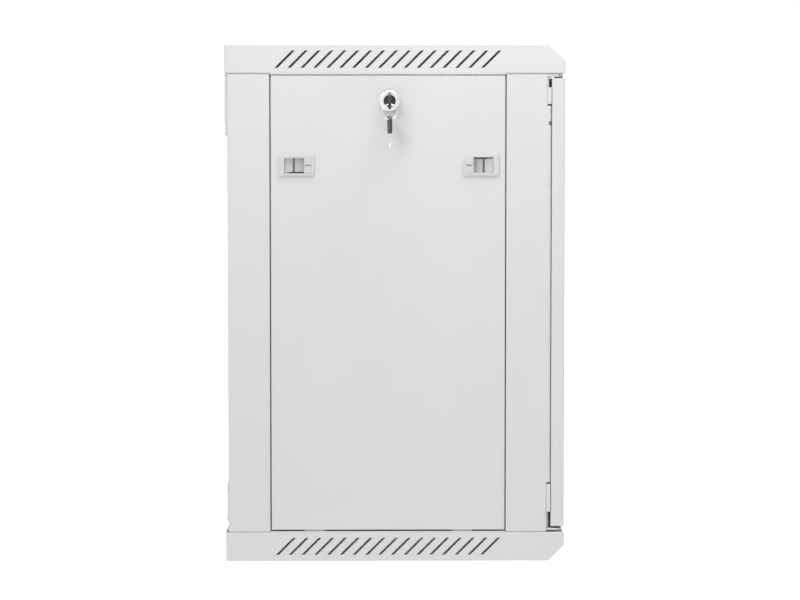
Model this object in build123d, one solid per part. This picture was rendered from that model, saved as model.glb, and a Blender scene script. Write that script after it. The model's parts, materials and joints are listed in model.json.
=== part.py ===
from build123d import *
import os

# Wall-mounting 19 inch rack cabinet, 15 units high.
# Frame: origin at the middle of the underside, X across the width, -Y to the
# front door, +Z up. Sizes in millimetres. "Left" is the -X side.

# ---- driving dimensions -------------------------------------------------
WIDTH = 600.0
DEPTH = 504.0
HEIGHT = 769.0
SHEET = 1.5                 # folded sheet of the covers, posts and panels

BAND = 43.4                 # height of the covers' side flanges
APRON = 1.6                 # how much deeper they are between the posts
CHAMFER = 23.6              # 45 degree cut of the covers' front corner
BEND = 6.0                  # outside bend radius of the covers' nose
FOLD = 1.8                  # outside bend radius of the other folds
LEDGE_BACK = -226.2         # rear edge of the ledge above and below the door

SLOT_COUNT = 17             # slanted vents in each side flange
SLOT_PITCH = 19.05
SLOT_HEIGHT = 25.5
SLOT_WIDE = 4.65            # measured along the row
SLOT_ROW_Y = 10.3           # middle of the row
SLOT_ROW_DROP = 22.4        # from the cover's outer face to the row's middle

SKIN_X = 299.5              # outer face of posts and side panels
REAR_POST = (248.0, 185.6)  # rear face and opening side of the rear posts
FRONT_POST = (-225.7, -165.0)
POST_FLANGE = 45.0
POST_GAP = 1.1              # between a post and the covers
BEAD = (3.3, 5.5)           # width and reach of the front posts' outer bead
BEAD_Z = (118.0, 678.0)
BEAD_NOTCH = (649.0, 655.0) # where the bead leaves the door's guide bracket free
BEAD_HOLES = (561.0, 541.5, 485.0, 465.5, 275.5, 255.0)     # heights of its small holes
LIP = 8.5                   # lip behind a side panel's edge
LIP_X = 282.0               # inner face of that lip
VENT_CLEARANCE = 19.0       # how much further in the upper rail stands behind the vents
BACK = 246.5                # inner face of the rear posts' flanges

DOOR_FRONT = -251.7
DOOR_BACK = -232.2
DOOR_BOTTOM = 52.3
DOOR_TOP = 718.8
DOOR_X = 298.0
WINDOW_X = 238.0
WINDOW_Z = (106.0, 665.0)
GLASS_LAP = 12.0
GLASS = 5.0
GASKET = 1.0
HINGE_X = -290.0
HINGE_Y = -242.0
HINGE_PIN_R = 4.0
RUNNING = 0.05              # radial play of a pin or plug in its bore

PANEL_Y = (-163.4, 183.9)
PANEL_Z = (47.0, 723.0)
PANEL_RETURN = 12.0
PANEL_LOCK = (7.9, 685.2)   # Y and Z of the side lock
DIMPLE = (18.2, 16.6, 0.8)  # radii and depth of the pressed seat round the side lock
LATCH_Z = 590.0
LATCH_Y = (-128.0, 146.2)

UNIT = 44.45
UNITS = 15
RACK_HOLES_X = 465.1 / 2    # half the spacing of the hole rows
RACK_OPENING = 225.0        # half the clear width between the rails
RACK_RAIL = 20.0
RACK_HOLE = 9.5
FRONT_RAIL_Y = -200.0
REAR_RAIL_Y = 170.0
RACK_BOTTOM = (HEIGHT - UNIT * UNITS) / 2
DEPTH_RAIL_Z = (75.0, 694.0)
DEPTH_RAIL_HIGH = 30.0

FAN_SPACING = 105.0         # hole spacing of a 120 mm fan
FAN_X = 105.0
FAN_Y = 40.0
ENTRY = (300.0, 70.0)       # cable entries in both covers
ENTRY_Y = 185.0
FOOT_HOLES = (480.0, 380.0)
WALL_HOLES_X = 225.0
WALL_UPPER = (645.0, 715.0)
WALL_LOWER = (60.0, 116.0)
REAR_ENTRY = (240.0, 60.0, 165.0)

SCREW_R = 2.4
SCREW_HOLE_R = 2.7

DOOR_LOCK = (268.0, 385.0)  # X and Z of the door lock
LOCK_BORE = 9.0


# ---- helpers ------------------------------------------------------------
def block(x, y, z):
    """A box between the given limits along each axis."""
    sizes = [abs(b - a) for a, b in (x, y, z)]
    middle = [(a + b) / 2 for a, b in (x, y, z)]
    return Pos(*middle) * Box(*sizes)


def rod(x, y, low, high, radius):
    """An upright cylinder."""
    return Pos(x, y, (low + high) / 2) * Cylinder(radius, high - low)


def rod_y(x, z, low, high, radius):
    """A cylinder along Y."""
    return Pos(x, (low + high) / 2, z) * Rot(90, 0, 0) * Cylinder(radius, high - low)


def rod_x(y, z, low, high, radius):
    """A cylinder along X."""
    return Pos((low + high) / 2, y, z) * Rot(0, 90, 0) * Cylinder(radius, high - low)


def joined(shapes):
    """All shapes fused into one."""
    shapes = list(shapes)
    whole = shapes[0]
    if len(shapes) > 1:
        whole = whole + shapes[1:]
    return whole


def less(shape, cutters):
    """The shape without any of the cutters."""
    return shape - list(cutters)


def other_side(shape):
    """The same piece on the +X side."""
    return mirror(shape, Plane.YZ)


def upside_down(shape):
    """The same piece at the other end of the cabinet's height."""
    return Pos(0, 0, HEIGHT) * mirror(shape, Plane.XY)


def save(name, shape):
    """Writes one sub-part, flattening a group to its solids."""
    solids = shape.solids()
    piece = solids[0] if len(solids) == 1 else Compound(children=list(solids))
    piece.label = name
    export_step(piece, f"parts/{name}.step")


# ---- top and bottom covers ----------------------------------------------
def cover_section(inset):
    """The cover's outline across its width, inset from the outer faces."""
    front = -DEPTH / 2 + inset
    rear = DEPTH / 2 - inset
    top = HEIGHT - inset
    low = HEIGHT - BAND + inset
    cut = CHAMFER - inset * 0.586
    corners = [
        (rear, low),
        (rear, top),
        (front + cut, top),
        (front, top - cut),
        (front, low),
    ]
    bend = max(BEND - inset, 0.5)
    radii = [0.0, 0.0, bend, bend, max(3.0 - inset, 0.5)]
    line = FilletPolyline(*corners, radius=radii, close=True)
    return Plane.YZ * make_face(line)


def slot_cutters(mid_z):
    """The slanted vents of both side flanges, leaning to the front at the top."""
    half = SLOT_HEIGHT / 2
    wide = SLOT_WIDE / 2
    slant = Polyline(
        (half + wide, -half),
        (half - wide, -half),
        (-half - wide, half),
        (-half + wide, half),
        close=True,
    )
    face = Plane.YZ * make_face(slant)
    first = SLOT_ROW_Y - SLOT_PITCH * (SLOT_COUNT - 1) / 2
    for side in (-1, 1):
        for number in range(SLOT_COUNT):
            place = Pos(side * WIDTH / 2, first + SLOT_PITCH * number, mid_z)
            yield extrude(place * face, amount=4, both=True)


def cover_shell():
    """The folded pan: skin, side flanges with their aprons, chamfered nose and door ledge."""
    skin = extrude(cover_section(0), amount=WIDTH / 2, both=True)
    rims = skin.faces().filter_by(Axis.X).edges()
    skin = fillet([e for e in rims if e.center().Z > HEIGHT - BAND + 10], FOLD)
    hollow = extrude(cover_section(SHEET), amount=WIDTH / 2 - SHEET, both=True)
    inside = WIDTH / 2 - SHEET
    low = HEIGHT - BAND
    mouth = block((-inside, inside), (LEDGE_BACK, DEPTH / 2 - SHEET), (low - 1, low + 3))
    between = (FRONT_POST[1] + 0.4, REAR_POST[1] - 0.4)
    apron = block((-WIDTH / 2, -inside), between, (low - APRON, low + 1))
    return skin - hollow - mouth + [apron, other_side(apron)]


def fan_places():
    """Middles of the two fan positions."""
    return [(-FAN_X, FAN_Y), (FAN_X, FAN_Y)]


def fan_cutters():
    """Fixing holes and the round field of vent holes of both fan positions."""
    reach = FAN_SPACING / 2
    step = 11.0
    for fx, fy in fan_places():
        for sx in (-1, 1):
            for sy in (-1, 1):
                yield rod(fx + sx * reach, fy + sy * reach, HEIGHT - 4, HEIGHT + 2, 2.2)
        for row in range(-5, 6):
            for column in range(-5, 6):
                x = column * step + (row % 2) * step / 2
                y = row * step * 0.866
                if x * x + y * y < 52.0**2:
                    yield rod(fx + x, fy + y, HEIGHT - 4, HEIGHT + 2, 4.0)


def entry_screw_places():
    """The four screws of a cable entry's blank plate."""
    half_x = ENTRY[0] / 2 + 10
    for sx in (-1, 1):
        for sy in (-1, 1):
            yield sx * half_x, ENTRY_Y + sy * 25


def entry_cutters():
    """Cable entry and its screw holes, in the top cover."""
    top = (HEIGHT - 4, HEIGHT + 2)
    half_x, half_y = ENTRY[0] / 2, ENTRY[1] / 2
    yield block((-half_x, half_x), (ENTRY_Y - half_y, ENTRY_Y + half_y), top)
    for x, y in entry_screw_places():
        yield rod(x, y, *top, SCREW_HOLE_R)


def foot_cutters():
    """Four holes for feet or castors, in the bottom cover."""
    for sx in (-1, 1):
        for sy in (-1, 1):
            yield rod(sx * FOOT_HOLES[0] / 2, sy * FOOT_HOLES[1] / 2, -2, 4, 5.25)


def entry_plate():
    """Blank plate under the top cover's cable entry, with a stiffening rim."""
    under = HEIGHT - SHEET
    wide = ENTRY[0] / 2 + 18
    deep = ENTRY[1] / 2 + 14
    plate = block((-wide, wide), (ENTRY_Y - deep, ENTRY_Y + deep), (under - SHEET, under))
    holes = [rod(x, y, under - 4, under + 2, SCREW_HOLE_R) for x, y in entry_screw_places()]
    return less(plate, holes)


# ---- posts --------------------------------------------------------------
def post(edge, opening):
    """A left post: web, outer flange, seat for the side panel and its lip."""
    inward = 1 if opening > edge else -1
    low, high = BAND + POST_GAP, HEIGHT - BAND - POST_GAP
    full = (2.0, HEIGHT - 2.0)
    seen = (low, high)
    outer = -SKIN_X
    web = (outer, outer + SHEET)
    tenon = (outer + SHEET, outer + 2 * SHEET)
    flange_end = outer + POST_FLANGE
    seat = (opening, opening - inward * SHEET)
    pieces = [
        block(web, (edge, opening), seen),
        block((outer, flange_end), (edge, edge + inward * SHEET), seen),
        block((outer + SHEET, flange_end), (edge, edge + inward * SHEET), full),
        block(tenon, (edge, opening), (full[0], low + 4)),
        block(tenon, (edge, opening), (high - 4, full[1])),
        block((outer, -LIP_X), seat, seen),
        block((-LIP_X - SHEET, -LIP_X), (opening - inward * SHEET, opening + inward * LIP), seen),
    ]
    shape = joined(pieces)
    corners = [e for e in shape.edges().filter_by(Axis.Z) if is_post_corner(e, edge, opening)]
    return fillet(corners, FOLD * 0.8)


def is_post_corner(line, edge, opening):
    """Whether an upright edge is an outside corner of the post's skin."""
    at = line.center()
    return abs(at.X + SKIN_X) < 0.01 and min(abs(at.Y - edge), abs(at.Y - opening)) < 0.01


def side_screw_places():
    """X and Z of the screws that hold the depth rails' end tabs on the left."""
    return [(-281.0, z + dz) for z in DEPTH_RAIL_Z for dz in (-8, 8)]


def hinge_screw_places():
    """X and Z of the hinge leaves' screws, lower leaf first."""
    return [(-291.7, z) for z in (98.0, 109.0, 686.0, 699.0)]


def wall_screw_places():
    """X and Z of the screws that hold the wall brackets, left ones first."""
    zs = (66.0, 110.0, 640.0, 719.0)
    return [(side * 290.5, z) for side in (-1, 1) for z in zs]


def keeper_screw_places():
    """X and Z of the keeper's screws on the right front post."""
    return [(290.5, 357.0), (290.5, 413.0)]


def door_bead():
    """Raised bead down the left front post's outer corner, which nearly meets the door."""
    wide, reach = BEAD
    edge = FRONT_POST[0]
    bead = block((-SKIN_X, -SKIN_X + wide), (edge - reach, edge + SHEET), BEAD_Z)
    corner = bead.edges().filter_by(Axis.Z).group_by(Axis.Y)[0].sort_by(Axis.X)[0]
    bead = fillet(corner, 2.9)
    cuts = [block((-SKIN_X - 1, -SKIN_X + wide + 1), (edge - reach - 1, edge - 2), BEAD_NOTCH)]
    cuts += [rod_x(edge - 2.5, z, -SKIN_X - 1, -SKIN_X + 2.5, 0.8) for z in BEAD_HOLES]
    return less(bead, cuts)


def front_post_left():
    edge = FRONT_POST[0]
    places = side_screw_places() + hinge_screw_places()
    holes = [rod_y(x, z, edge - 2, edge + 4, SCREW_HOLE_R) for x, z in places]
    return less(post(*FRONT_POST) + door_bead(), holes)


def front_post_right():
    """As the left one, with a window for the door lock's cam."""
    edge = FRONT_POST[0]
    places = [(-x, z) for x, z in side_screw_places()] + keeper_screw_places()
    holes = [rod_y(x, z, edge - 2, edge + 4, SCREW_HOLE_R) for x, z in places]
    lock_x, lock_z = DOOR_LOCK
    holes.append(block((250, lock_x + 15), (edge - 2, edge + 4), (lock_z - 17, lock_z + 36)))
    return less(other_side(post(*FRONT_POST) + door_bead()), holes)


def rear_post_left():
    edge = REAR_POST[0]
    places = side_screw_places() + [p for p in wall_screw_places() if p[0] < 0]
    holes = [rod_y(x, z, edge - 4, edge + 2, SCREW_HOLE_R) for x, z in places]
    return less(post(*REAR_POST), holes)


# ---- members between the posts -------------------------------------------
def front_lintel():
    """Angle that closes the front frame behind the top of the door."""
    edge = FRONT_POST[0]
    half = SKIN_X - POST_FLANGE - 0.5
    low = RACK_BOTTOM + UNIT * UNITS + 0.6
    upright = block((-half, half), (edge, edge + SHEET), (low, HEIGHT - 4))
    shelf = block((-half, half), (edge, edge + 18), (HEIGHT - 4 - SHEET, HEIGHT - 4))
    return upright + shelf


def side_run():
    """The clear stretch along Y between the posts' lips."""
    return FRONT_POST[1] + LIP + 0.3, REAR_POST[1] - LIP - 0.3


def lip_tabs(z):
    """Tabs that lap behind both posts' lips, where a side rail is welded on."""
    for end in side_run():
        yield block((-LIP_X, -LIP_X + SHEET), (end - 8, end + 8), z)


def upper_side_rail():
    """Stepped section above the left side opening; the lock's cam catches on its foot."""
    step, top = 728.0, 764.0
    inner = -LIP_X + VENT_CLEARANCE
    foot = block((-LIP_X - SHEET, -LIP_X), side_run(), (708.0, step))
    shelf = block((-LIP_X - SHEET, inner), side_run(), (step - SHEET, step))
    upright = block((inner - SHEET, inner), side_run(), (step - SHEET, top))
    flange = block((inner - SHEET, inner + 12), side_run(), (top - SHEET, top))
    return joined([foot, shelf, upright, flange, *lip_tabs((710.0, 721.0))])


def hook_places():
    """Middles along Y of the side panel's lower hooks."""
    return [-100.0, 120.0]


def lower_side_rail():
    """Angle below the left side opening, slotted for the panel's hooks."""
    outer = -WIDTH / 2 + SHEET + 0.3
    top = 44.5
    shelf = block((outer, -LIP_X), side_run(), (top - SHEET, top))
    upright = block((-LIP_X - SHEET, -LIP_X), side_run(), (top - SHEET, 60.0))
    slots = [block((outer - 1, -288.5), (y - 18, y + 18), (top - 4, top + 2)) for y in hook_places()]
    return less(joined([upright, shelf, *lip_tabs((47.5, 58.5))]), slots)


def depth_rail(mid_z):
    """Left channel from front to rear post that carries the rack rails."""
    low, high = mid_z - DEPTH_RAIL_HIGH / 2, mid_z + DEPTH_RAIL_HIGH / 2
    web_x = (-RACK_OPENING - RACK_RAIL - SHEET, -RACK_OPENING - RACK_RAIL)
    front = FRONT_POST[0] + SHEET
    rear = BACK - SHEET
    flange_x = (-262.0, web_x[1])
    tab_x = (-288.0, web_x[1])
    pieces = [
        block(web_x, (front, rear), (low, high)),
        block(flange_x, (front, rear), (low, low + SHEET)),
        block(flange_x, (front, rear), (high - SHEET, high)),
        block(tab_x, (front, front + SHEET), (low, high)),
        block(tab_x, (rear - SHEET, rear), (low, high)),
    ]
    holes = [rod_y(x, z, -240, 260, SCREW_HOLE_R) for x, z in side_screw_places()]
    slots = []
    for y in (FRONT_RAIL_Y + 22, REAR_RAIL_Y - 22):
        slot = Plane.YZ * SlotOverall(34, 6.6)
        slots.append(extrude(Pos(-246, y, mid_z) * slot, amount=4, both=True))
    return less(joined(pieces), holes + slots)


def rack_rail(face_y, facing):
    """Left 19 inch rail: an angle with three square holes in each unit."""
    low, high = RACK_BOTTOM - 1.5, RACK_BOTTOM + UNIT * UNITS + 1.5
    thick = 2.0
    inner, outer = -RACK_OPENING, -RACK_OPENING - RACK_RAIL
    back = face_y - facing * thick
    face = block((outer, inner), (face_y, back), (low, high))
    side = block((outer, outer + thick), (face_y, face_y - facing * 38), (low, high))
    holes = []
    for unit in range(UNITS):
        for rise in (6.35, 22.225, 38.1):
            mid = RACK_BOTTOM + unit * UNIT + rise
            hole = Pos(-RACK_HOLES_X, face_y, mid) * Box(RACK_HOLE, 10, RACK_HOLE)
            holes.append(hole)
    for z in DEPTH_RAIL_Z:
        holes.append(rod_x(face_y - facing * 22, z, outer - 2, outer + 5, 3.3))
    return less(face + side, holes)


def rail_bolt(y, z):
    """M6 bolt, head inside the left rail, nut outside the depth rail."""
    inner = -RACK_OPENING - RACK_RAIL + 2
    outer = -RACK_OPENING - RACK_RAIL - SHEET
    head = rod_x(y, z, inner, inner + 3.5, 5.2)
    shank = rod_x(y, z, outer - 7, inner, 3.0)
    socket = Pos(inner + 3.5, y, z) * Rot(0, 90, 0) * extrude(RegularPolygon(2.3, 6), amount=-2)
    nut = Pos(outer - 5, y, z) * Rot(0, 90, 0) * extrude(RegularPolygon(5.7, 6), amount=5)
    return head + shank - socket + nut


# ---- back of the cabinet ---------------------------------------------------
def wall_hole_cutters():
    """Through holes for the four wall bolts."""
    upper, lower = sum(WALL_UPPER) / 2, sum(WALL_LOWER) / 2
    for x in (-WALL_HOLES_X, WALL_HOLES_X):
        for z in (upper, lower):
            yield rod_y(x, z, BACK - 6, DEPTH / 2 + 4, 4.5)


def rear_panel():
    """Flat sheet clamped between the rear posts and the depth rails."""
    sheet = block((-292, 292), (BACK - SHEET, BACK), (47.5, 721.5))
    wide, high, mid = REAR_ENTRY
    cuts = list(wall_hole_cutters())
    cuts.append(block((-wide / 2, wide / 2), (BACK - 6, BACK + 4), (mid - high / 2, mid + high / 2)))
    for x, z in side_screw_places():
        cuts.append(rod_y(x, z, BACK - 6, BACK + 4, SCREW_HOLE_R))
        cuts.append(rod_y(-x, z, BACK - 6, BACK + 4, SCREW_HOLE_R))
    for x, z in wall_screw_places():
        cuts.append(rod_y(x, z, BACK - 6, BACK + 4, 4.0))
    return less(sheet, cuts)


def rear_entry_trim():
    """Rubber edging round the rear cable opening."""
    wide, high, mid = REAR_ENTRY
    thick, reach = 1.6, 5.0
    outer = (wide / 2 + reach, high / 2 + reach)
    inner = (wide / 2 - thick, high / 2 - thick)
    rim = block(
        (-outer[0], outer[0]), (BACK - SHEET - thick, BACK + thick), (mid - outer[1], mid + outer[1])
    )
    hole = block((-inner[0], inner[0]), (BACK - 9, BACK + 9), (mid - inner[1], mid + inner[1]))
    groove = block((-300, 300), (BACK - SHEET, BACK), (mid - 60, mid + 60))
    groove -= block((-wide / 2, wide / 2), (BACK - 9, BACK + 9), (mid - high / 2, mid + high / 2))
    return rim - hole - groove


def wall_bracket_upper():
    """Raised strip across the back that meets the wall, 4 mm proud of the posts."""
    face, wall = REAR_POST[0], DEPTH / 2
    thick = 2.0
    low, high = WALL_UPPER
    slope = wall - face - thick + 2.5
    outer = [
        (face, low - 12),
        (face + thick, low - 12),
        (face + thick, low),
        (wall, low + slope),
        (wall, high - slope),
        (face + thick, high - 1),
        (face + thick, high + 15),
        (face, high + 15),
        (face, high - 3),
        (wall - thick, high - slope - 2),
        (wall - thick, low + slope + 2),
        (face, low + 2),
    ]
    half = 297.0
    strip = extrude(Plane.YZ * make_face(Polyline(*outer, close=True)), amount=half, both=True)
    end = Plane.YZ * make_face(Polyline(*outer[2:6], (face, high - 1), (face, low), close=True))
    strip += [extrude(Pos(x, 0, 0) * end, amount=SHEET) for x in (-half, half - SHEET)]
    cuts = list(wall_hole_cutters())
    cuts += [rod_y(x, z, face - 2, face + 5, SCREW_HOLE_R) for x, z in wall_screw_places()]
    return less(strip, cuts)


def wall_bracket_lower():
    """Flat strip low on the back, with bevelled long edges."""
    face = REAR_POST[0]
    low, high = WALL_LOWER
    strip = block((-297, 297), (face, face + SHEET), (low, high))
    cuts = list(wall_hole_cutters())
    cuts += [rod_y(x, z, face - 2, face + 5, SCREW_HOLE_R) for x, z in wall_screw_places()]
    return less(strip, cuts)


# ---- small fasteners ---------------------------------------------------------
def front_screw(x, z, face_y, length, head=2.4):
    """Button-head screw entering along +Y from a front face."""
    cap = rod_y(x, z, face_y - head, face_y, 4.75)
    shank = rod_y(x, z, face_y, face_y + length, SCREW_R)
    socket = Pos(x, face_y - head, z) * Rot(-90, 0, 0) * extrude(RegularPolygon(1.7, 6), amount=1.2)
    return cap + shank - socket


def rear_screw(x, z, face_y, length, head=2.4):
    """Button-head screw entering along -Y from a rear face."""
    cap = rod_y(x, z, face_y, face_y + head, 4.75)
    shank = rod_y(x, z, face_y - length, face_y, SCREW_R)
    socket = Pos(x, face_y + head, z) * Rot(90, 0, 0) * extrude(RegularPolygon(1.7, 6), amount=1.2)
    return cap + shank - socket


def inside_screw(x, y, face_z, length):
    """Button-head screw entering upwards from inside the cabinet."""
    cap = rod(x, y, face_z - 2.4, face_z, 4.75)
    shank = rod(x, y, face_z, face_z + length, SCREW_R)
    socket = Pos(x, y, face_z - 2.4) * extrude(RegularPolygon(1.7, 6), amount=1.2)
    return cap + shank - socket


def frame_screws():
    """M5 screws of the rails, brackets, blank plates, hinge leaves and keeper."""
    for x, z in side_screw_places():
        for side in (1, -1):
            yield front_screw(side * x, z, FRONT_POST[0], 8)
            if WALL_LOWER[0] < z < WALL_LOWER[1]:
                continue
            yield rear_screw(side * x, z, REAR_POST[0], 8, 1.8)
    for x, z in wall_screw_places():
        thick = 2.0 if z > HEIGHT / 2 else SHEET
        yield rear_screw(x, z, REAR_POST[0] + thick, 2.7 + thick, 1.8)
    yield from entry_screws()
    for x, z in hinge_screw_places():
        yield front_screw(x, z, FRONT_POST[0] - 2.0, 8, 0.9)
    for x, z in keeper_screw_places():
        yield front_screw(x, z, FRONT_POST[0], 7)


def entry_screws():
    """The screws of the blank plates, top and bottom, with their heads inside."""
    for x, y in entry_screw_places():
        screw = inside_screw(x, y, HEIGHT - 2 * SHEET, 2 * SHEET - 0.1)
        yield screw
        yield upside_down(screw)


# ---- door ------------------------------------------------------------------
def door_frame():
    """Folded frame with a window, side walls and narrow returns at the back."""
    x = (-DOOR_X, DOOR_X)
    z = (DOOR_BOTTOM, DOOR_TOP)
    case = block(x, (DOOR_FRONT, DOOR_BACK), z)
    folds = case.edges().filter_by(Axis.Z) + case.faces().sort_by(Axis.Y)[0].edges().filter_by(Axis.X)
    case = fillet(folds, FOLD)
    inner_x = DOOR_X - SHEET
    hollow = block(
        (-inner_x, inner_x),
        (DOOR_FRONT + SHEET, DOOR_BACK - SHEET),
        (DOOR_BOTTOM + SHEET, DOOR_TOP - SHEET),
    )
    rim = 16.0
    back = block(
        (-DOOR_X + rim, DOOR_X - rim),
        (DOOR_BACK - 4, DOOR_BACK + 2),
        (DOOR_BOTTOM + rim, DOOR_TOP - rim),
    )
    window = block((-WINDOW_X, WINDOW_X), (DOOR_FRONT - 2, DOOR_FRONT + 4), WINDOW_Z)
    window = fillet(window.edges().filter_by(Axis.Y), 6.0)
    low_hole = rod(HINGE_X, HINGE_Y, DOOR_BOTTOM - 1, DOOR_BOTTOM + 4, 5.2)
    high_hole = rod(HINGE_X, HINGE_Y, DOOR_TOP - 4, DOOR_TOP + 1, 5.2)
    lock_hole = rod_y(DOOR_LOCK[0], DOOR_LOCK[1], DOOR_FRONT - 2, DOOR_FRONT + 4, 11.2)
    frame = less(case, [hollow, back, window, low_hole, high_hole, lock_hole])
    return frame + pin_bracket()


def window_ring(y, lap_out, lap_in):
    """A flat ring that follows the window's edge."""
    low, high = WINDOW_Z
    outer = block((-WINDOW_X - lap_out, WINDOW_X + lap_out), y, (low - lap_out, high + lap_out))
    inner = block(
        (-WINDOW_X - lap_in, WINDOW_X + lap_in), (y[0] - 1, y[1] + 1), (low - lap_in, high + lap_in)
    )
    return outer - inner


def glass_gasket():
    face = DOOR_FRONT + SHEET
    return window_ring((face, face + GASKET), GLASS_LAP, 1.5)


def door_glass():
    front = DOOR_FRONT + SHEET + GASKET
    low, high = WINDOW_Z
    x = (-WINDOW_X - GLASS_LAP + 0.5, WINDOW_X + GLASS_LAP - 0.5)
    z = (low - GLASS_LAP + 0.5, high + GLASS_LAP - 0.5)
    return block(x, (front, front + GLASS), z)


def glass_clips():
    """Folded clips that hold the glass against the gasket."""
    face = DOOR_FRONT + SHEET
    back = face + GASKET + GLASS
    low, high = WINDOW_Z
    rise = (high - low - 120) / 3
    for z in (low + 60 + rise * number for number in range(4)):
        for side in (-1, 1):
            edge = side * (WINDOW_X + GLASS_LAP)
            foot = block((edge, edge + side * 12), (face, face + SHEET), (z - 12, z + 12))
            riser = block((edge, edge + side * SHEET), (face, back + SHEET), (z - 12, z + 12))
            lip = block((edge + side * SHEET, edge - side * 8), (back, back + SHEET), (z - 12, z + 12))
            yield foot + riser + lip
    for x in (-150, 0, 150):
        for edge, way in ((low - GLASS_LAP, -1), (high + GLASS_LAP, 1)):
            foot = block((x - 12, x + 12), (face, face + SHEET), (edge, edge + way * 12))
            riser = block((x - 12, x + 12), (face, back + SHEET), (edge, edge + way * SHEET))
            lip = block((x - 12, x + 12), (back, back + SHEET), (edge + way * SHEET, edge - way * 8))
            yield foot + riser + lip


# ---- hinges ------------------------------------------------------------------
LEAF = (720.9, 724.9)       # height of the upper leaf's tongue


def hinge_leaf(tongue, strip, cheek):
    """Angle on the left front post: its tongue reaches over the door's edge, its cheek closes the gap."""
    face = FRONT_POST[0]
    plate = block((-298.5, -283), (HINGE_Y, face), tongue)
    tip = rod(HINGE_X, HINGE_Y, *tongue, 6.4)
    side = block((-SKIN_X + 0.3, -296.6), (face - 5.9, face), cheek)
    upright = block((-297, -286.5), (face - 2.0, face), strip)
    places = [p for p in hinge_screw_places() if strip[0] < p[1] < strip[1]]
    holes = [rod_y(x, z, face - 4, face + 2, SCREW_HOLE_R) for x, z in places]
    return less(plate + tip + upright + side, holes)


def hinge_leaf_upper():
    leaf = hinge_leaf(LEAF, (680.0, LEAF[1]), (680.5, 705.0))
    return leaf - rod(HINGE_X, HINGE_Y, LEAF[0] - 1, LEAF[1] + 1, HINGE_PIN_R + RUNNING)


def hinge_leaf_lower():
    """Lower leaf with its fixed pin, on which the door stands."""
    tongue = (46.4, 48.9)
    pin = rod(HINGE_X, HINGE_Y, tongue[0], 66.0, HINGE_PIN_R)
    return hinge_leaf(tongue, (tongue[0], 116.0), (74.0, 115.5)) + pin


def hinge_bushes():
    """Plastic bushes in the door: the lower one carries it, the upper guides."""
    bore = HINGE_PIN_R + RUNNING
    low = rod(HINGE_X, HINGE_Y, 49.1, DOOR_BOTTOM, 6.2) + rod(HINGE_X, HINGE_Y, 49.1, 70.0, 5.1)
    low -= rod(HINGE_X, HINGE_Y, 40.0, 68.0, bore)
    flange = LEAF[0] - 0.3
    high = rod(HINGE_X, HINGE_Y, DOOR_TOP, flange, 6.2) + rod(HINGE_X, HINGE_Y, 698.0, flange, 5.1)
    high -= rod(HINGE_X, HINGE_Y, 690.0, 730.0, bore)
    return low, high


def upper_hinge_pin():
    """Sliding pin with a collar for the spring and a finger lever."""
    pin = rod(HINGE_X, HINGE_Y, 650.0, LEAF[1] - 0.5, HINGE_PIN_R)
    collar = rod(HINGE_X, HINGE_Y, 674.0, 676.5, 6.0)
    lever = block((HINGE_X, -262.0), (HINGE_Y - 1.5, HINGE_Y + 1.5), (676.5, 679.5))
    knob = block((-266.0, -262.0), (HINGE_Y - 1.5, -232.0), (676.5, 679.5))
    return pin + collar + lever + knob


def pin_bracket():
    """Folded bracket on the door's side wall that guides the pin's lower end."""
    wall = -DOOR_X + SHEET
    plate = block((wall, -281.0), (HINGE_Y - 6, HINGE_Y + 6), (655.0, 657.0))
    back = block((wall, wall + SHEET), (HINGE_Y - 6, HINGE_Y + 6), (640.0, 657.0))
    return plate + back - rod(HINGE_X, HINGE_Y, 650.0, 660.0, HINGE_PIN_R + RUNNING)


def hinge_spring():
    """Spring round the pin between the bracket and the collar."""
    height = 15.5
    radius, wire = 4.85, 0.5
    path = Helix(2.9, height, radius)
    circle = (path ^ 0) * Circle(wire)
    coil = sweep(circle, path=path, is_frenet=True)
    return Pos(HINGE_X, HINGE_Y, 657.8) * coil


# ---- locks -----------------------------------------------------------------
def lock_body(bezel, proud, depth, sunk=0.0):
    """Barrel, bezel and nut of a cam lock; outward is +Z, the skin is at 0."""
    ring = Pos(0, 0, -sunk) * Cylinder(
        bezel, proud + sunk, align=(Align.CENTER, Align.CENTER, Align.MIN)
    )
    rim = ring.edges().sort_by(Axis.Z)[-1]
    ring = chamfer(rim, min(0.8, proud * 0.45))
    barrel = Pos(0, 0, -depth) * Cylinder(11.0, depth, align=(Align.CENTER, Align.CENTER, Align.MIN))
    bore = Pos(0, 0, -depth - 1) * Cylinder(
        LOCK_BORE, depth + proud + 2, align=(Align.CENTER, Align.CENTER, Align.MIN)
    )
    nut = Pos(0, 0, -SHEET - sunk - 5) * extrude(RegularPolygon(15.5, 6), amount=5)
    nut -= Pos(0, 0, -SHEET - sunk - 6) * Cylinder(11.0, 7, align=(Align.CENTER, Align.CENTER, Align.MIN))
    return [ring + barrel - bore, nut]


def lock_plug(proud, depth, upright_slot):
    """Turning plug with its key way and the square that drives the cam."""
    low = (Align.CENTER, Align.CENTER, Align.MIN)
    plug = Pos(0, 0, -depth) * Cylinder(LOCK_BORE - RUNNING, depth + proud - 0.6, align=low)
    square = Pos(0, 0, -depth - 4.5) * Box(7, 7, 4.5, align=low)
    way = (2.6, 8.2) if upright_slot else (8.2, 2.6)
    keyway = Pos(0, 0, -depth + 3) * Box(*way, depth + 4, align=low)
    return plug + square - keyway


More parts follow.
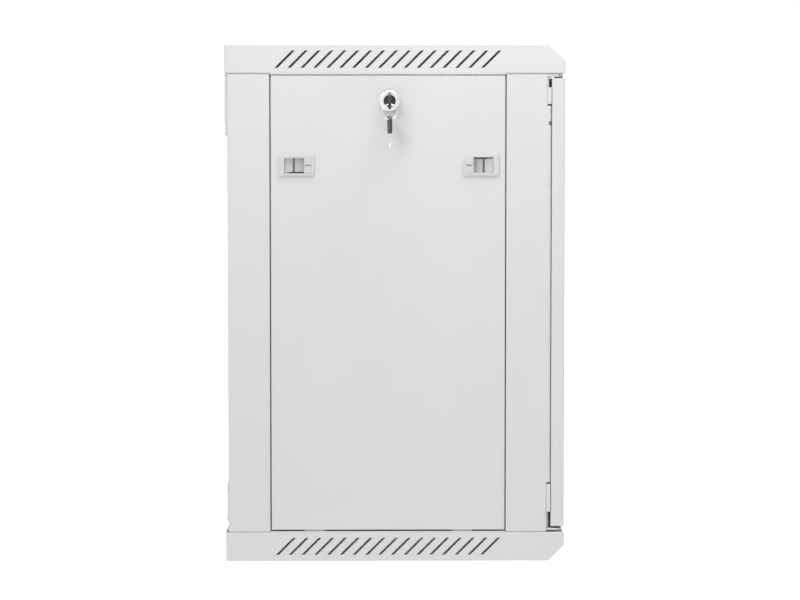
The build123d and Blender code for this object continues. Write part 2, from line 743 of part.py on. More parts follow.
def lock_cam(depth, reach):
    """Flat cam on the plug's square, pointing along local +X, with its screw."""
    low = (Align.CENTER, Align.CENTER, Align.MIN)
    face = -depth - 2.5
    eye = Pos(0, 0, face) * Cylinder(8.0, 2.0, align=low)
    arm = Pos(reach / 2, 0, face) * Box(reach, 16, 2.0, align=low)
    cam = eye + arm - Pos(0, 0, face - 1) * Box(7.1, 7.1, 4, align=low)
    washer = Pos(0, 0, -depth - 6.0) * Cylinder(5.4, 1.5, align=low)
    return [cam, washer]


SIDE_LOCK_DEPTH = 17.8
DOOR_LOCK_DEPTH = 29.3


def on_left_panel(shape):
    """Turns a lock's local +Z to -X and its +X to +Y, at the left side lock."""
    place = Plane(
        origin=(-SKIN_X, PANEL_LOCK[0], PANEL_LOCK[1]), x_dir=(0, 1, 0), z_dir=(-1, 0, 0)
    )
    return place.location * shape


def on_door(shape):
    """Turns a lock's local +Z to -Y and its +X to +Z, at the door lock."""
    place = Plane(
        origin=(DOOR_LOCK[0], DOOR_FRONT, DOOR_LOCK[1]), x_dir=(0, 0, 1), z_dir=(0, -1, 0)
    )
    return place.location * shape


def group(shapes):
    return Compound(children=[s.solid() for s in shapes])


def door_keeper():
    """Strike plate behind the right front post, where the door's cam lands."""
    face = FRONT_POST[0] + SHEET
    plate = block((284.5, 296.3), (face, face + 2.0), (350.0, 420.0))
    holes = [rod_y(x, z, face - 2, face + 4, SCREW_HOLE_R) for x, z in keeper_screw_places()]
    return less(plate, holes)


# ---- side panel ---------------------------------------------------------------
LATCH_LONG, LATCH_HIGH = 52.0, 30.5
LATCH_BODY_U = (-24.0, 25.0)
LATCH_BODY_HIGH = 27.0
LATCH_DEEP = 24.0
LATCH_WINDOW = (-11.5, 17.5)
LATCH_RISE = 0.8            # how far the window sits above the bezel's middle
LATCH_FLOOR = 5.0           # depth of the finger recess below the skin
LATCH_STEP = 9.5            # depth of the slider behind that recess's floor


def side_panel():
    """Left panel: a shallow pan with hooks below and cut-outs for its fittings."""
    outer = block((-SKIN_X, -SKIN_X + PANEL_RETURN), PANEL_Y, PANEL_Z)
    outer = fillet(outer.faces().sort_by(Axis.X)[0].edges() + outer.edges().filter_by(Axis.X), FOLD * 0.8)
    inner = block(
        (-SKIN_X + SHEET, -SKIN_X + PANEL_RETURN + 1),
        (PANEL_Y[0] + SHEET, PANEL_Y[1] - SHEET),
        (PANEL_Z[0] + SHEET, PANEL_Z[1] - SHEET),
    )
    pan = outer - inner + lock_seat(SHEET) - lock_seat(0)
    hooks = [
        block((-297.2, -295.7), (y - 15, y + 15), (38.5, PANEL_Z[0] + SHEET)) for y in hook_places()
    ]
    cuts = [rod_x(PANEL_LOCK[0], PANEL_LOCK[1], -302, -290, 11.2)]
    for y, way in latch_places():
        ends = sorted((y + way * (LATCH_BODY_U[0] - 0.3), y + way * (LATCH_BODY_U[1] + 0.3)))
        half = LATCH_BODY_HIGH / 2 + 0.3
        cuts.append(block((-302, -290), ends, (LATCH_Z - half, LATCH_Z + half)))
    return less(joined([pan] + hooks), cuts)


def lock_seat(behind):
    """Cone of the pressed seat round the lock, from the given depth behind the skin."""
    wide, narrow, deep = DIMPLE
    middle = -SKIN_X + behind + deep / 2
    return Pos(middle, *PANEL_LOCK) * Rot(0, 90, 0) * Cone(wide, narrow, deep)


def latch_places():
    """Middle along Y and outward direction of the front and the rear latch."""
    return [(LATCH_Y[0], -1), (LATCH_Y[1], 1)]


def latch_housing():
    """Plastic housing; +X is towards the post, +Z outward, the skin is at 0."""
    low = (Align.CENTER, Align.CENTER, Align.MIN)
    half = LATCH_LONG / 2
    high = LATCH_HIGH / 2
    outline = make_face(
        Polyline((-half, -high), (half, -high), (half, high), (-half, high))
        + ThreePointArc((-half, high), (-half - 1.6, 0), (-half, -high))
    )
    bezel = extrude(outline, amount=2.0)
    top = bezel.faces().sort_by(Axis.Z)[-1]
    bezel = chamfer(top.edges(), 0.3)
    u0, u1 = LATCH_BODY_U
    case = Pos((u0 + u1) / 2, 0, -LATCH_DEEP) * Box(u1 - u0, LATCH_BODY_HIGH, LATCH_DEEP, align=low)
    cavity = Pos(0.6, 0, -LATCH_DEEP + 1) * Box(u1 - u0 - 3.4, 23.4, LATCH_DEEP - 1, align=low)
    w0, w1 = LATCH_WINDOW
    window = Pos((w0 + w1) / 2, LATCH_RISE, -1) * Box(w1 - w0, 23.0, 5, align=low)
    pad = Pos(-18.0, 0, 2.0) * Box(9.0, 23.0, 0.6, align=low)
    dash = Pos(-17.6, 0, 0.6) * Box(8.6, 2.6, 4, align=low)
    floor = Pos((w0 + 1.9) / 2 - 4, -1.2, -LATCH_FLOOR - 1.5) * Box(1.9 - w0 + 8, 22.0, 1.5, align=low)
    exit_slot = Pos(u1, 0, -23.2) * Box(6, 16.6, 5.4, align=low)
    shell = bezel + case - cavity - window + floor
    return less(shell + pad, [dash, exit_slot])


def latch_slider():
    """Slider with its grip in the window and the tongue that goes behind the lip."""
    low = (Align.CENTER, Align.CENTER, Align.MIN)
    plate = Pos(-1.6, 0, -22.4) * Box(36.8, 22.6, 4.0, align=low)
    grip = Pos(11.15, 0, -18.4) * Box(12.3, 22.0, 17.6, align=low)
    ramp = Pos(11.15, 0, 2.6) * Rot(0, -14, 0) * Box(18, 24, 10)
    grip -= ramp
    taper = Pos(5.0, 13.6, -18.5) * Rot(0, 0, 8) * Box(20, 8, 20, align=low)
    grip -= taper
    step = Pos(0.5, 0, -18.4) * Box(10.0, 20.0, 18.4 - LATCH_STEP, align=low)
    tongue = Pos(21.9, 0, -22.4) * Box(10.2, 16.0, 4.0, align=low)
    return plate + grip + step + tongue


def at_latch(shape, y, way):
    """Puts a latch piece on the left panel, pointing to its post."""
    place = Plane(origin=(-SKIN_X, y, LATCH_Z), x_dir=(0, way, 0), z_dir=(-1, 0, 0))
    return place.location * shape


# ---- keys -------------------------------------------------------------------
KEY_BOW = (22.0, 4.4, 24.0)
SPARE_BOW = (22.0, 4.4, 26.0)
RING_RADIUS = 11.0
RING_WIRE = 0.9
RING_X = -321.5
RING_Z = 668.6
SPARE_KEY_TURN = 9.0        # degrees about the upright, as it hangs


def bow(size, hole_mid):
    """Plastic-covered bow of a key with an oblong hole through its thickness."""
    body = Box(*size)
    body = fillet(body.edges().filter_by(Axis.Y), 7.0)
    body = chamfer(body.edges(), 0.6)
    slot = Pos(*hole_mid) * Plane.XZ.location * SlotOverall(9.0, 4.6, rotation=90)
    return body - extrude(slot, amount=5, both=True)


def blade(length):
    """Notched blade, pointing along local -Z from the bow."""
    shape = Box(7.0, 2.0, length, align=(Align.CENTER, Align.CENTER, Align.MAX))
    notches = []
    for number in range(5):
        depth = (0.9, 1.8, 1.2, 2.0, 0.7)[number]
        drop = -4.5 - number * 3.6
        cut = Pos(3.5, 0, drop) * Rot(0, 45, 0) * Box(depth * 1.6, 4, depth * 1.6)
        notches.append(cut)
    return less(shape, notches)


def key():
    """The key in the side lock: blade inside the plug, bow standing out."""
    front = -SKIN_X - 4.4
    head = Pos(front - KEY_BOW[0] / 2, PANEL_LOCK[0], PANEL_LOCK[1]) * bow(
        KEY_BOW, (RING_X - (front - KEY_BOW[0] / 2), 0, -3.2)
    )
    stem = Pos(front - 2, PANEL_LOCK[0], PANEL_LOCK[1]) * Rot(0, -90, 0) * blade(20)
    return head + stem


def key_ring():
    """Split ring of two touching turns, hanging in the key's bow."""
    ring = Torus(RING_RADIUS, RING_WIRE)
    ring = Rot(0, 90, 0) * ring
    pair = Pos(-RING_WIRE * 0.8, 0, 0) * ring + Pos(RING_WIRE * 0.8, 0, 0) * ring
    return Pos(RING_X, PANEL_LOCK[0], RING_Z) * pair


def spare_key():
    """Second key, hanging from the ring's lowest point."""
    hang_z = RING_Z - RING_RADIUS
    middle = hang_z + 5.2 - SPARE_BOW[2] / 2
    body = bow(SPARE_BOW, (0, 0, hang_z - 2.6 - middle))
    body += Pos(0, 0, 1 - SPARE_BOW[2] / 2) * blade(22.5)
    return Pos(RING_X, PANEL_LOCK[0], middle) * Rot(0, 0, SPARE_KEY_TURN) * body


# ---- earth stud ---------------------------------------------------------------
def earth_stud():
    """M6 earthing stud with two nuts on the floor of the bottom cover."""
    x, y = 180.0, 205.0
    stud = rod(x, y, SHEET, 24.0, 3.0) + rod(x, y, SHEET, SHEET + 1.5, 6.0)
    low_nut = Pos(x, y, 8.0) * extrude(RegularPolygon(5.7, 6), amount=5)
    high_nut = Pos(x, y, 15.0) * extrude(RegularPolygon(5.7, 6), amount=5)
    return stud + low_nut + high_nut


# ---- the whole cabinet ----------------------------------------------------------
def build():
    os.makedirs("parts", exist_ok=True)

    shell = cover_shell()
    top = less(shell, slot_cutters(HEIGHT - SLOT_ROW_DROP))
    save("top_cover", less(top, list(entry_cutters()) + list(fan_cutters())))
    bottom = less(upside_down(shell), slot_cutters(SLOT_ROW_DROP))
    under = [upside_down(cut) for cut in entry_cutters()]
    save("bottom_cover", less(bottom, under + list(foot_cutters())))
    plate = entry_plate()
    save("cable_entry_plates", Compound(children=[plate.solid(), upside_down(plate).solid()]))

    save("front_post_left", front_post_left())
    save("front_post_right", front_post_right())
    save("rear_post_left", rear_post_left())
    save("rear_post_right", other_side(rear_post_left()))

    save("front_lintel", front_lintel())
    save("front_sill", upside_down(front_lintel()))
    for side, place in (("left", lambda s: s), ("right", other_side)):
        save(f"upper_side_rail_{side}", place(upper_side_rail()))
        save(f"lower_side_rail_{side}", place(lower_side_rail()))
        for level, z in zip(("lower", "upper"), DEPTH_RAIL_Z):
            save(f"depth_rail_{level}_{side}", place(depth_rail(z)))
        save(f"rack_rail_front_{side}", place(rack_rail(FRONT_RAIL_Y, -1)))
        save(f"rack_rail_rear_{side}", place(rack_rail(REAR_RAIL_Y, 1)))

    bolts = []
    for y in (FRONT_RAIL_Y + 22, REAR_RAIL_Y - 22):
        for z in DEPTH_RAIL_Z:
            bolt = rail_bolt(y, z)
            bolts += [bolt, other_side(bolt)]
    save("rack_rail_bolts", group(bolts))

    save("rear_panel", rear_panel())
    save("rear_entry_trim", rear_entry_trim())
    save("wall_bracket_upper", wall_bracket_upper())
    save("wall_bracket_lower", wall_bracket_lower())
    save("frame_screws", group(frame_screws()))
    save("earth_stud", earth_stud())

    save("hinge_leaf_upper", hinge_leaf_upper())
    save("hinge_leaf_lower", hinge_leaf_lower())
    save("door_keeper", door_keeper())

    save("door_frame", door_frame())
    save("door_glass", door_glass())
    save("glass_gasket", glass_gasket())
    save("glass_clips", group(glass_clips()))
    save("hinge_bushes", group(hinge_bushes()))
    save("upper_hinge_pin", upper_hinge_pin())
    save("hinge_spring", hinge_spring())

    save("door_lock_body", group(on_door(s) for s in lock_body(14.0, 0.3, DOOR_LOCK_DEPTH)))
    save("door_lock_plug", on_door(lock_plug(0.3, DOOR_LOCK_DEPTH, False)))
    save("door_lock_cam", group(on_door(s) for s in lock_cam(DOOR_LOCK_DEPTH, 27.0)))

    locks = {
        "lock_body": group(on_left_panel(s) for s in lock_body(14.8, 3.4, SIDE_LOCK_DEPTH, DIMPLE[2])),
        "lock_plug": on_left_panel(lock_plug(3.4, SIDE_LOCK_DEPTH, True)),
        "lock_cam": group(on_left_panel(s) for s in lock_cam(SIDE_LOCK_DEPTH, 30.0)),
    }
    for side, place in (("left", lambda s: s), ("right", other_side)):
        save(f"side_panel_{side}", place(side_panel()))
        for name, shape in locks.items():
            save(f"side_{name}_{side}", place(shape))
        for end, (y, way) in zip(("front", "rear"), latch_places()):
            save(f"latch_housing_{side}_{end}", place(at_latch(latch_housing(), y, way)))
            save(f"latch_slider_{side}_{end}", place(at_latch(latch_slider(), y, way)))

    save("key", key())
    save("key_ring", key_ring())
    save("spare_key", spare_key())


build()
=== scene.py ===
import json
import math

import bmesh
import bpy
from mathutils import Matrix, Vector


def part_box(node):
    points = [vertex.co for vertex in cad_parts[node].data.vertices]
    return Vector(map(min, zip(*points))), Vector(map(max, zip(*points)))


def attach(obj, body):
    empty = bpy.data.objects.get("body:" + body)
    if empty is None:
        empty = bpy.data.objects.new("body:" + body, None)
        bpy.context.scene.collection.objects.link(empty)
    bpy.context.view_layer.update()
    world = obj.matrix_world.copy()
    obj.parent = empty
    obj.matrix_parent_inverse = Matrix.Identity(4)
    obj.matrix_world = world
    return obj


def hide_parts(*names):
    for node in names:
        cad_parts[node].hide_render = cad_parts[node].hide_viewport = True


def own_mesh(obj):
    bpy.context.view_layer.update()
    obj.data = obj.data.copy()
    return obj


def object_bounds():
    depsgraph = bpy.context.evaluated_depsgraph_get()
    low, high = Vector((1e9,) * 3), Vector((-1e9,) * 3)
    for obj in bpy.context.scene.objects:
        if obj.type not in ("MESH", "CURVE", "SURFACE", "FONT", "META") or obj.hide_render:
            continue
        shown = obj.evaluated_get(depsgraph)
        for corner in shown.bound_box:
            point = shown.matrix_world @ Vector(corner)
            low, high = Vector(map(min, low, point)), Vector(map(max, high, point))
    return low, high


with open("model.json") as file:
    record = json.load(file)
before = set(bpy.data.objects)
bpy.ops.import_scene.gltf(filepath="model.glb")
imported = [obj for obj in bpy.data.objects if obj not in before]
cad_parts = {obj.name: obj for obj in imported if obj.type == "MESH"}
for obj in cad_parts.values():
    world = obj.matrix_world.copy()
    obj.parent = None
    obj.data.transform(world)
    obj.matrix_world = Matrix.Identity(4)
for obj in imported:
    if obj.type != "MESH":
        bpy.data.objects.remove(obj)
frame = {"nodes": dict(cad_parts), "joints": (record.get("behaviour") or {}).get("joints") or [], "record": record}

cad_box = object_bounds()

MM = 0.001
KEY_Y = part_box("key")[0].y / 2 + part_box("key")[1].y / 2


# ---- node helpers -----------------------------------------------------------
class Nodes:
    """A material's node tree with short calls for the nodes used here."""

    def __init__(self, name):
        self.material = bpy.data.materials.new(name)
        self.material.use_nodes = True
        self.tree = self.material.node_tree
        self.shader = self.tree.nodes["Principled BSDF"]
        self.place = self.tree.nodes.new("ShaderNodeTexCoord").outputs["Object"]

    def add(self, kind, **values):
        node = self.tree.nodes.new(kind)
        for key, value in values.items():
            setattr(node, key, value)
        return node

    def link(self, source, target):
        self.tree.links.new(source, target)

    def stretched(self, scale):
        """Object coordinates scaled unevenly, for brushed and drawn surfaces."""
        node = self.add("ShaderNodeMapping")
        node.inputs["Scale"].default_value = scale
        self.link(self.place, node.inputs["Vector"])
        return node.outputs["Vector"]

    def noise(self, scale, detail=2.0, roughness=0.5, place=None):
        node = self.add("ShaderNodeTexNoise")
        node.inputs["Scale"].default_value = scale
        node.inputs["Detail"].default_value = detail
        node.inputs["Roughness"].default_value = roughness
        self.link(place or self.place, node.inputs["Vector"])
        return node.outputs["Fac"]

    def spread(self, value, low, high):
        """Maps a noise value's usual 0.3 to 0.7 to the given limits."""
        node = self.add("ShaderNodeMapRange")
        node.inputs["From Min"].default_value = 0.3
        node.inputs["From Max"].default_value = 0.7
        node.inputs["To Min"].default_value = low
        node.inputs["To Max"].default_value = high
        self.link(value, node.inputs["Value"])
        return node.outputs["Result"]

    def between(self, value, dark, light):
        """A colour between two, chosen by a noise value."""
        node = self.add("ShaderNodeMix", data_type="RGBA")
        node.inputs["A"].default_value = (*dark, 1)
        node.inputs["B"].default_value = (*light, 1)
        self.link(self.spread(value, 0.0, 1.0), node.inputs["Factor"])
        return node.outputs["Result"]

    def relief(self, height, strength, distance, edge=0.0):
        """Bump from a height, on normals rounded at edges by the given radius."""
        bump = self.add("ShaderNodeBump")
        bump.inputs["Strength"].default_value = strength
        bump.inputs["Distance"].default_value = distance
        self.link(height, bump.inputs["Height"])
        if edge:
            bevel = self.add("ShaderNodeBevel", samples=4)
            bevel.inputs["Radius"].default_value = edge
            self.link(bevel.outputs["Normal"], bump.inputs["Normal"])
        self.link(bump.outputs["Normal"], self.shader.inputs["Normal"])

    def set(self, **values):
        for key, value in values.items():
            self.shader.inputs[key.replace("_", " ")].default_value = value


def shade(colour, amount):
    """The colour made lighter or darker by a share."""
    return tuple(min(1.0, c * (1.0 + amount)) for c in colour)


# ---- materials ---------------------------------------------------------------
def powder_coat(name, colour, grain=1.0):
    """Textured powder coat: a fine pebbled skin with a slight unevenness of tone."""
    nodes = Nodes(name)
    cloud = nodes.noise(7.0, 3.0)
    nodes.link(nodes.between(cloud, shade(colour, -0.012), shade(colour, 0.012)),
               nodes.shader.inputs["Base Color"])
    pebble = nodes.noise(1500.0 / grain, 2.0, 0.6)
    nodes.link(nodes.spread(pebble, 0.42, 0.54), nodes.shader.inputs["Roughness"])
    nodes.relief(pebble, 0.16, 0.00012, edge=0.0007)
    nodes.set(IOR=1.48)
    return nodes.material


def plated(name, colour, rough=(0.24, 0.42), stretch=(1, 1, 1), edge=0.0004):
    """Plated or drawn metal with fine scratches and a cloudy lustre."""
    nodes = Nodes(name)
    cloud = nodes.noise(28.0, 4.0)
    nodes.link(nodes.between(cloud, shade(colour, -0.07), shade(colour, 0.06)),
               nodes.shader.inputs["Base Color"])
    scratch = nodes.noise(420.0, 5.0, 0.7, nodes.stretched(stretch))
    nodes.link(nodes.spread(scratch, *rough), nodes.shader.inputs["Roughness"])
    nodes.relief(scratch, 0.08, 0.00005, edge=edge)
    nodes.set(Metallic=1.0)
    return nodes.material


def moulded(name, colour, rough=(0.36, 0.5), grain=2600.0):
    """Moulded plastic with a fine spark-eroded grain."""
    nodes = Nodes(name)
    cloud = nodes.noise(40.0, 2.0)
    nodes.link(nodes.between(cloud, shade(colour, -0.025), shade(colour, 0.025)),
               nodes.shader.inputs["Base Color"])
    fine = nodes.noise(grain, 3.0, 0.6)
    nodes.link(nodes.spread(fine, *rough), nodes.shader.inputs["Roughness"])
    nodes.relief(fine, 0.12, 0.00006, edge=0.0005)
    nodes.set(IOR=1.5)
    return nodes.material


def window_glass(name):
    """Tempered glass, faintly grey, with the lightest waviness and smears."""
    nodes = Nodes(name)
    smear = nodes.noise(9.0, 4.0)
    nodes.link(nodes.spread(smear, 0.0, 0.035), nodes.shader.inputs["Roughness"])
    nodes.link(nodes.between(smear, (0.80, 0.84, 0.83), (0.86, 0.90, 0.89)),
               nodes.shader.inputs["Base Color"])
    nodes.relief(nodes.noise(3.0, 1.0), 0.02, 0.0002)
    nodes.set(IOR=1.52, Transmission_Weight=1.0)
    return nodes.material


GREY_COAT = (0.62, 0.625, 0.62)
MATERIALS = {
    "light_grey_powder_coat": powder_coat("light_grey_powder_coat", GREY_COAT),
    "zinc_plated_steel": plated("zinc_plated_steel", (0.70, 0.715, 0.73)),
    "tempered_glass": window_glass("tempered_glass"),
    "black_rubber": moulded("black_rubber", (0.02, 0.02, 0.021), (0.6, 0.8), 1800.0),
    "chrome": plated("chrome", (0.80, 0.80, 0.81), (0.06, 0.16)),
    "key_steel": plated("key_steel", (0.76, 0.74, 0.70), (0.16, 0.3), (1, 1, 0.06)),
    "light_grey_plastic": moulded("light_grey_plastic", (0.56, 0.565, 0.565)),
    "dark_plastic": moulded("dark_plastic", (0.045, 0.046, 0.05)),
    # Lock plugs: near black as painted shade and painted reflection, for the key head's shadow and the dark room
    # mirrored in their chrome faces
    "blackened_steel": moulded("blackened_steel", (0.022, 0.022, 0.024), (0.34, 0.5), 900.0),
    "spring_steel": plated("spring_steel", (0.56, 0.56, 0.57), (0.18, 0.32)),
    "brass": plated("brass", (0.72, 0.56, 0.26), (0.22, 0.36)),
}


def dress_cad_nodes():
    """Gives every CAD node the material of its slot."""
    for part in frame["record"]["subparts"]:
        node = frame["nodes"][part["node"]]
        node.data.materials.clear()
        node.data.materials.append(MATERIALS[part["material_slot"]])


# ---- mesh helpers ---------------------------------------------------------------
def arc(cx, cy, radius, start, end, steps=8):
    """Points along an arc, angles in degrees."""
    for number in range(steps + 1):
        angle = math.radians(start + (end - start) * number / steps)
        yield cx + radius * math.cos(angle), cy + radius * math.sin(angle)


def oblong(cx, cy, half_u, half_v, steps=10):
    """A closed slot outline with round ends, longer along whichever half is larger."""
    radius = min(half_u, half_v)
    run_u, run_v = half_u - radius, half_v - radius
    points = []
    for su, sv, start in ((1, 1, 0), (-1, 1, 90), (-1, -1, 180), (1, -1, 270)):
        points += arc(cx + su * run_u, cy + sv * run_v, radius, start, start + 90, steps)
    return points


def plate(name, outlines, thick, bevel, matrix, material, body):
    """A flat piece with softened edges: filled outlines, thick across local Z."""
    curve = bpy.data.curves.new(name, "CURVE")
    curve.dimensions = "2D"
    curve.fill_mode = "BOTH"
    curve.extrude = thick / 2 - bevel
    curve.bevel_depth = bevel
    curve.bevel_resolution = 3
    curve.offset = -bevel
    for outline in outlines:
        spline = curve.splines.new("POLY")
        points = list(outline)
        spline.points.add(len(points) - 1)
        for point, (u, v) in zip(spline.points, points):
            point.co = (u, v, 0, 1)
        spline.use_cyclic_u = True
    return from_curve(name, curve, matrix, material, body)


def from_curve(name, curve, matrix, material, body):
    """Turns a curve into a mesh piece in the row frame, riding on a body."""
    shaper = bpy.data.objects.new(name + "_curve", curve)
    mesh = bpy.data.meshes.new_from_object(shaper)
    bpy.data.objects.remove(shaper)
    mesh.name = name
    mesh.transform(matrix)
    if matrix.determinant() < 0:
        mesh.flip_normals()
    return piece(name, mesh, material, body)


def piece(name, mesh, material, body):
    """Links a mesh as a piece of the object."""
    work = bmesh.new()
    work.from_mesh(mesh)
    bmesh.ops.remove_doubles(work, verts=work.verts, dist=1e-6)
    bmesh.ops.recalc_face_normals(work, faces=work.faces)
    work.to_mesh(mesh)
    work.free()
    mesh.shade_smooth()
    mesh.set_sharp_from_angle(angle=math.radians(38))
    mesh.materials.clear()
    mesh.materials.append(MATERIALS[material])
    made = bpy.data.objects.new(name, mesh)
    bpy.context.scene.collection.objects.link(made)
    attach(made, body)
    return made


def axes(origin, u, v):
    """A matrix that puts local X, Y along u and v at an origin."""
    u, v = Vector(u), Vector(v)
    return Matrix.Translation(origin) @ Matrix((u, v, u.cross(v))).transposed().to_4x4()


# ---- keys -----------------------------------------------------------------------
BOW_THICK = 4.4 * MM
BOW_NECK = 5.5 * MM         # half width of a head where the blade comes out
BLADE_THICK = 2.0 * MM
BLADE_CUTS = (1.1, 2.4, 1.5, 2.8, 0.9, 2.0)     # depths in the bitting, in mm
SHOULDER = 1.5 * MM         # how far a blade reaches into its head
HOLE_HALF = (2.3 * MM, 4.5 * MM)
KEY_HEAD, KEY_BLADE = 22 * MM, 18 * MM
SPARE_HALF, SPARE_HEAD, SPARE_BLADE = 11 * MM, 26 * MM, 21.3 * MM
SPARE_KEY_TURN = 9.0        # degrees about the upright, as it hangs


def bow_outline(length, neck, half):
    """A key's plastic head: round far corners, straight sides, a tapered neck."""
    corner = 7.0 * MM
    taper = 5.5 * MM
    points = list(arc(corner, -half + corner, corner, 180, 270))
    points += [(length - taper, -half), (length, -neck), (length, neck), (length - taper, half)]
    points += list(arc(corner, half - corner, corner, 90, 180))
    return points


def blade_outline(length):
    """A blade seen flat: straight back, cut bitting, chamfered tip."""
    half = 3.5 * MM
    points = [(0, -half), (length - 1.6 * MM, -half), (length, -half + 1.8 * MM), (length, 1.2 * MM)]
    pitch = (length - 5.0 * MM) / len(BLADE_CUTS)
    for number, cut in enumerate(reversed(BLADE_CUTS)):
        middle = length - 2.6 * MM - pitch * (number + 0.5)
        depth = half - cut * MM
        points += [(middle + pitch * 0.5, half - 0.2 * MM), (middle + 0.5 * MM, depth),
                   (middle - 0.5 * MM, depth)]
    points += [(1.6 * MM, half), (0, half)]
    return points


def make_key(body, node, matrix, half, bow_length, blade_length, hole, hole_half):
    """A key whose metal blade runs out of a head moulded in two halves."""
    outlines = [bow_outline(bow_length, BOW_NECK, half), oblong(*hole, *hole_half)]
    for side in (-1, 1):
        lift = matrix @ Matrix.Translation((0, 0, side * BOW_THICK / 4))
        head = plate(f"{body}_head_{'front' if side > 0 else 'back'}", outlines, BOW_THICK / 2,
                     0.5 * MM, lift, "dark_plastic", body)
        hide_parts(node)
    shoulder_at = matrix @ Matrix.Translation((bow_length - SHOULDER, 0, 0))
    plate(f"{body}_blade", [blade_outline(blade_length + SHOULDER)], BLADE_THICK, 0.2 * MM,
          shoulder_at, "key_steel", body)
    rim_at = bow_length * 0.62
    rim = [oblong(rim_at, 0, 4.6 * MM, 6.6 * MM), oblong(rim_at, 0, 4.0 * MM, 6.0 * MM)]
    for side in (-1, 1):
        lift = matrix @ Matrix.Translation((0, 0, side * (BOW_THICK / 2 - 0.15 * MM)))
        plate(f"{body}_rim_{'front' if side > 0 else 'back'}", rim, 0.5 * MM, 0.12 * MM, lift,
              "dark_plastic", body)


def make_keys():
    """The key in the left lock and the spare that hangs from its ring."""
    joints = {j["name"]: j for j in frame["joints"]}
    lo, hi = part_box("key")
    pivot = Vector(joints["key_ring_swing"]["pos_m"])
    tip = Vector((lo.x, KEY_Y, (lo.z + hi.z) / 2))
    hole = (pivot.x - tip.x, 2.9 * MM + (pivot.z - tip.z))
    matrix = axes(tip, (1, 0, 0), (0, 0, 1))
    make_key("key", "key", matrix, (hi.z - lo.z) / 2, KEY_HEAD, KEY_BLADE, hole, HOLE_HALF)
    lo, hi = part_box("spare_key")
    pivot = Vector(joints["spare_key_swing"]["pos_m"])
    tip = Vector(((lo.x + hi.x) / 2, KEY_Y, hi.z))
    hole = (tip.z - pivot.z + 2.6 * MM, 0)
    turn = math.radians(SPARE_KEY_TURN)
    matrix = axes(tip, (0, 0, -1), (-math.cos(turn), -math.sin(turn), 0))
    make_key("spare_key", "spare_key", matrix, SPARE_HALF, SPARE_HEAD, SPARE_BLADE, hole, HOLE_HALF[::-1])


def bent_wire(name, points, wire, matrix, material, body):
    """Round wire along a list of points."""
    curve = bpy.data.curves.new(name, "CURVE")
    curve.dimensions = "3D"
    curve.bevel_depth = wire
    curve.bevel_resolution = 5
    curve.use_fill_caps = True
    spline = curve.splines.new("POLY")
    spline.points.add(len(points) - 1)
    for point, place in zip(spline.points, points):
        point.co = (*place, 1)
    return from_curve(name, curve, matrix, material, body)


def make_split_ring():
    """Spring wire wound nearly twice round, its ends a hair apart."""
    lo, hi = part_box("key_ring")
    radius = (hi.z - lo.z) / 2 - 0.9 * MM
    turns, steps, rise = 1.94, 150, 1.6 * MM
    points = []
    for number in range(steps + 1):
        share = number / steps
        angle = 2 * math.pi * turns * share + 2.2
        lift = rise * (1 / (1 + math.exp(-(share - 0.5) * 14)) - 0.5)
        points.append((radius * math.cos(angle), radius * math.sin(angle), lift))
    matrix = axes((lo + hi) / 2, (0, 1, 0), (0, 0, 1))
    ring = bent_wire("split_ring", points, 0.78 * MM, matrix, "key_steel", "key_ring")
    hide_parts("key_ring")


def make_hinge_spring():
    """Coil round the upper hinge pin, at the length of the hinge spring's box."""
    lo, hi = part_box("hinge_spring")
    wire = 0.5 * MM
    radius = (hi.x - lo.x) / 2 - wire
    turns, steps = 5.3, 220
    run = hi.z - lo.z - 2 * wire
    points = []
    for number in range(steps + 1):
        share = number / steps
        angle = 2 * math.pi * turns * share
        points.append((radius * math.cos(angle), radius * math.sin(angle), run * share))
    foot = Vector(((lo.x + hi.x) / 2, (lo.y + hi.y) / 2, lo.z + wire))
    coil = bent_wire("hinge_spring_coil", points, wire, axes(foot, (1, 0, 0), (0, 1, 0)),
                     "spring_steel", "door")
    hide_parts("hinge_spring")
    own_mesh(coil)


# ---- studio ------------------------------------------------------------------------
SKY_STRENGTH = 0.05
SUN_STRENGTH = 1.2
TOP_POWER = 43.5
FLOOR_GLOW = 1.0
BACKDROP = 1.02             # the surroundings as the camera and reflections see them


def make_floor():
    """A wide floor that glows white all round and lights the object from below."""
    mesh = bpy.data.meshes.new("floor")
    reach = 30.0
    corners = [(-reach, -reach, 0), (reach, -reach, 0), (reach, reach, 0), (-reach, reach, 0)]
    mesh.from_pydata(corners, [], [(0, 1, 2, 3)])
    nodes = Nodes("white_floor")
    fine = nodes.noise(60.0, 3.0)
    nodes.link(nodes.between(fine, (0.19, 0.19, 0.19), (0.21, 0.21, 0.21)),
               nodes.shader.inputs["Base Color"])
    nodes.set(Roughness=0.9, Emission_Color=(1, 1, 1, 1), Emission_Strength=FLOOR_GLOW)
    mesh.materials.append(nodes.material)
    floor = bpy.data.objects.new("floor", mesh)
    bpy.context.scene.collection.objects.link(floor)


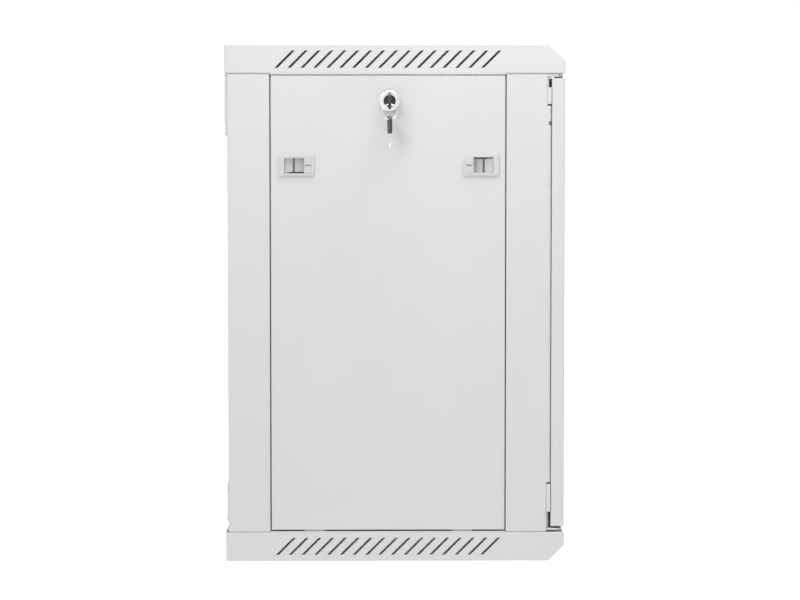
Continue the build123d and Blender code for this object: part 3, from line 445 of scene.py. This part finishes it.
def make_world():
    """White surroundings to the camera and in reflections, and a faint light from above."""
    world = bpy.data.worlds.new("studio")
    world.use_nodes = True
    tree = world.node_tree
    back = tree.nodes["Background"]
    back.inputs["Color"].default_value = (1, 1, 1, 1)
    height = tree.nodes.new("ShaderNodeSeparateXYZ")
    tree.links.new(tree.nodes.new("ShaderNodeTexCoord").outputs["Generated"], height.inputs["Vector"])
    sky = tree.nodes.new("ShaderNodeMapRange")
    sky.inputs["From Min"].default_value = -0.25
    sky.inputs["From Max"].default_value = 0.25
    sky.inputs["To Max"].default_value = SKY_STRENGTH
    tree.links.new(height.outputs["Z"], sky.inputs["Value"])
    seen = tree.nodes.new("ShaderNodeMix")
    seen.inputs["B"].default_value = BACKDROP
    path = tree.nodes.new("ShaderNodeLightPath")
    direct = tree.nodes.new("ShaderNodeMath")
    direct.operation = "MAXIMUM"
    tree.links.new(path.outputs["Is Camera Ray"], direct.inputs[0])
    tree.links.new(path.outputs["Is Glossy Ray"], direct.inputs[1])
    tree.links.new(direct.outputs["Value"], seen.inputs["Factor"])
    tree.links.new(sky.outputs["Result"], seen.inputs["A"])
    tree.links.new(seen.outputs["Result"], back.inputs["Strength"])
    bpy.context.scene.world = world


def aim(lamp, direction):
    """Turns a lamp so that it shines against the given direction."""
    lamp.rotation_mode = "QUATERNION"
    lamp.rotation_quaternion = Vector(direction).to_track_quat("Z", "Y")


def make_lights():
    """A broad low sun from behind the left side, and a soft panel above that side."""
    middle = (cad_box[0] + cad_box[1]) / 2
    sun = bpy.data.lights.new("window_light", "SUN")
    sun.energy = SUN_STRENGTH
    sun.angle = 0.45
    area = bpy.data.lights.new("top_light", "AREA")
    area.shape = "RECTANGLE"
    area.size = area.size_y = 1.2
    area.energy = TOP_POWER
    for light, place, way in (
        (sun, Vector((-2.0, 1.7, 2.0)), (-1.0, 0.85, 0.8)),
        (area, middle + Vector((-0.5, -0.2, 1.6)), (-0.3, -0.1, 1.3)),
    ):
        lamp = bpy.data.objects.new(light.name, light)
        lamp.location = place
        aim(lamp, way)
        bpy.context.scene.collection.objects.link(lamp)


CAMERA_AWAY = 4.0
CAMERA_SIDE, CAMERA_HEIGHT = 0.0273, 0.6385
CAMERA_YAW, CAMERA_PITCH = -0.497, -3.548       # degrees, from straight along +X
CAMERA_LENS = 121.55


def make_camera():
    """Square to the left side, a little above the middle and looking slightly down."""
    data = bpy.data.cameras.new("camera")
    data.lens = CAMERA_LENS
    data.sensor_width = 36.0
    data.clip_end = 100.0
    camera = bpy.data.objects.new("camera", data)
    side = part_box("top_cover")[0].x
    camera.location = (side - CAMERA_AWAY, CAMERA_SIDE, CAMERA_HEIGHT)
    yaw, pitch = math.radians(CAMERA_YAW), math.radians(CAMERA_PITCH)
    ahead = Vector((math.cos(pitch) * math.cos(yaw), math.cos(pitch) * math.sin(yaw), math.sin(pitch)))
    camera.rotation_mode = "QUATERNION"
    camera.rotation_quaternion = ahead.to_track_quat("-Z", "Y")
    bpy.context.scene.collection.objects.link(camera)
    bpy.context.scene.camera = camera


def plain_colours():
    """Shows the colours as rendered, with no film look."""
    view = bpy.context.scene.view_settings
    view.view_transform = "Standard"
    view.look = "None"
    view.exposure = 0.0
    view.gamma = 1.0


dress_cad_nodes()
make_keys()
make_split_ring()
make_hinge_spring()
make_floor()
make_world()
make_lights()
make_camera()
plain_colours()
